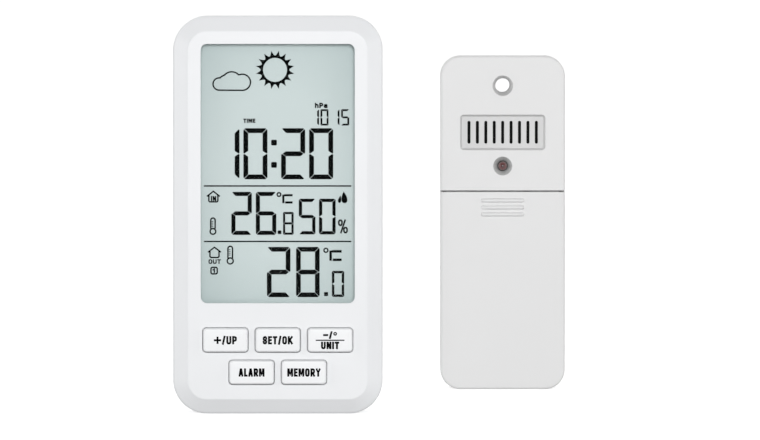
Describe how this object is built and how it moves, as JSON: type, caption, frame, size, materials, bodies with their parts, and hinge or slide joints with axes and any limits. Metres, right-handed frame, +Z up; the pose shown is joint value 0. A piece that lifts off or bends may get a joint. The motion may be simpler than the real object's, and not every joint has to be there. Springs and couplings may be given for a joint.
{
  "type": "home weather station",
  "caption": "Desk weather console with a segment display, press buttons, rear battery door and fold-out stand, beside a louvred outdoor radio sensor with a hanging hole.",
  "frame": {"origin": "centre of the console's flat base, on the surface that both units stand on", "axes": "+Z up, the console's display and the sensor's louvre face -Y, and the sensor stands to +X of the console and behind it"},
  "size_m": [0.1241, 0.16, 0.1232],
  "materials": {
    "white_case": "fine satin moulded plastic",
    "white_key": "satin moulded plastic",
    "clear_lens": "clear polished plastic",
    "display_glass": "grey-green segment display",
    "reflector_sheet": "pearly sheet",
    "inner_plastic": "plain moulded",
    "black_rubber": "matt",
    "grey_rubber": "matt silicone",
    "green_board": "solder mask",
    "black_chip": "epoxy",
    "bright_metal": "nickel plated",
    "brass": "plain",
    "copper_wire": "enamelled copper",
    "ferrite": "ground ferrite",
    "battery_jacket": "printed film, no lettering",
    "signal_light": "clear red epoxy"
  },
  "bodies": {
    "console": {"console_front_case": "white_case", "console_back_case": "white_case", "display_lens": "clear_lens", "lcd_glass": "display_glass", "lcd_reflector": "reflector_sheet", "lcd_holder": "inner_plastic", "indoor_probe": "inner_plastic", "zebra_strip": "black_rubber", "keypad_mat": "grey_rubber", "main_board": "green_board", "receiver_module": "green_board", "chip_blob": "black_chip", "alarm_sounder": "black_chip", "clock_crystal": "bright_metal", "pressure_sensor": "bright_metal", "console_spring_1": "bright_metal", "console_spring_2": "bright_metal", "console_screw_1": "bright_metal", "console_screw_2": "bright_metal", "console_screw_3": "bright_metal", "console_screw_4": "bright_metal", "console_contact_1": "brass", "console_contact_2": "brass", "receiver_aerial": "copper_wire", "clock_aerial_winding": "copper_wire", "clock_aerial_rod": "ferrite", "console_battery_1": "battery_jacket", "console_battery_2": "battery_jacket"},
    "button_plus": {"button_plus": "white_key"},
    "button_set": {"button_set": "white_key"},
    "button_minus": {"button_minus": "white_key"},
    "button_alarm": {"button_alarm": "white_key"},
    "button_memory": {"button_memory": "white_key"},
    "console_door": {"console_battery_door": "white_case"},
    "stand": {"console_stand": "white_case"},
    "sensor": {"sensor_front_case": "white_case", "sensor_back_case": "white_case", "sensor_board": "green_board", "sensor_chip_blob": "black_chip", "sensor_spring_1": "bright_metal", "sensor_spring_2": "bright_metal", "sensor_screw_1": "bright_metal", "sensor_screw_2": "bright_metal", "sensor_screw_3": "bright_metal", "sensor_screw_4": "bright_metal", "sensor_contact_1": "brass", "sensor_contact_2": "brass", "sensor_aerial": "copper_wire", "sensor_battery_1": "battery_jacket", "sensor_battery_2": "battery_jacket", "sensor_light": "signal_light", "air_probe": "inner_plastic", "transmitter_module": "green_board", "channel_switch": "black_chip"},
    "sensor_door": {"sensor_battery_door": "white_case"},
    "channel_knob": {"channel_knob": "white_key"}
  },
  "joints": [
    {"name": "button_plus_press", "type": "slide", "parent": "console", "child": "button_plus", "axis": [0, 1, 0], "range_m": [0, 0.0008], "stiffness_N_per_m": 900},
    {"name": "button_set_press", "type": "slide", "parent": "console", "child": "button_set", "axis": [0, 1, 0], "range_m": [0, 0.0008], "stiffness_N_per_m": 900},
    {"name": "button_minus_press", "type": "slide", "parent": "console", "child": "button_minus", "axis": [0, 1, 0], "range_m": [0, 0.0008], "stiffness_N_per_m": 900},
    {"name": "button_alarm_press", "type": "slide", "parent": "console", "child": "button_alarm", "axis": [0, 1, 0], "range_m": [0, 0.0008], "stiffness_N_per_m": 900},
    {"name": "button_memory_press", "type": "slide", "parent": "console", "child": "button_memory", "axis": [0, 1, 0], "range_m": [0, 0.0008], "stiffness_N_per_m": 900},
    {"name": "console_door_off", "type": "slide", "parent": "console", "child": "console_door", "axis": [0, 1, 0], "range_m": [0, 0.03]},
    {"name": "stand_swing", "type": "hinge", "parent": "console", "child": "stand", "pos_m": [0, 0.0107, 0.0615], "axis": [1, 0, 0], "range_deg": [0, 60]},
    {"name": "sensor_away", "type": "slide", "parent": "console", "child": "sensor", "axis": [1, 0, 0], "range_m": [0, 0.15]},
    {"name": "sensor_door_off", "type": "slide", "parent": "sensor", "child": "sensor_door", "axis": [0, -1, 0], "range_m": [0, 0.03]},
    {"name": "channel_slide", "type": "slide", "parent": "sensor", "child": "channel_knob", "axis": [1, 0, 0], "range_m": [0, 0.004]}
  ]
}
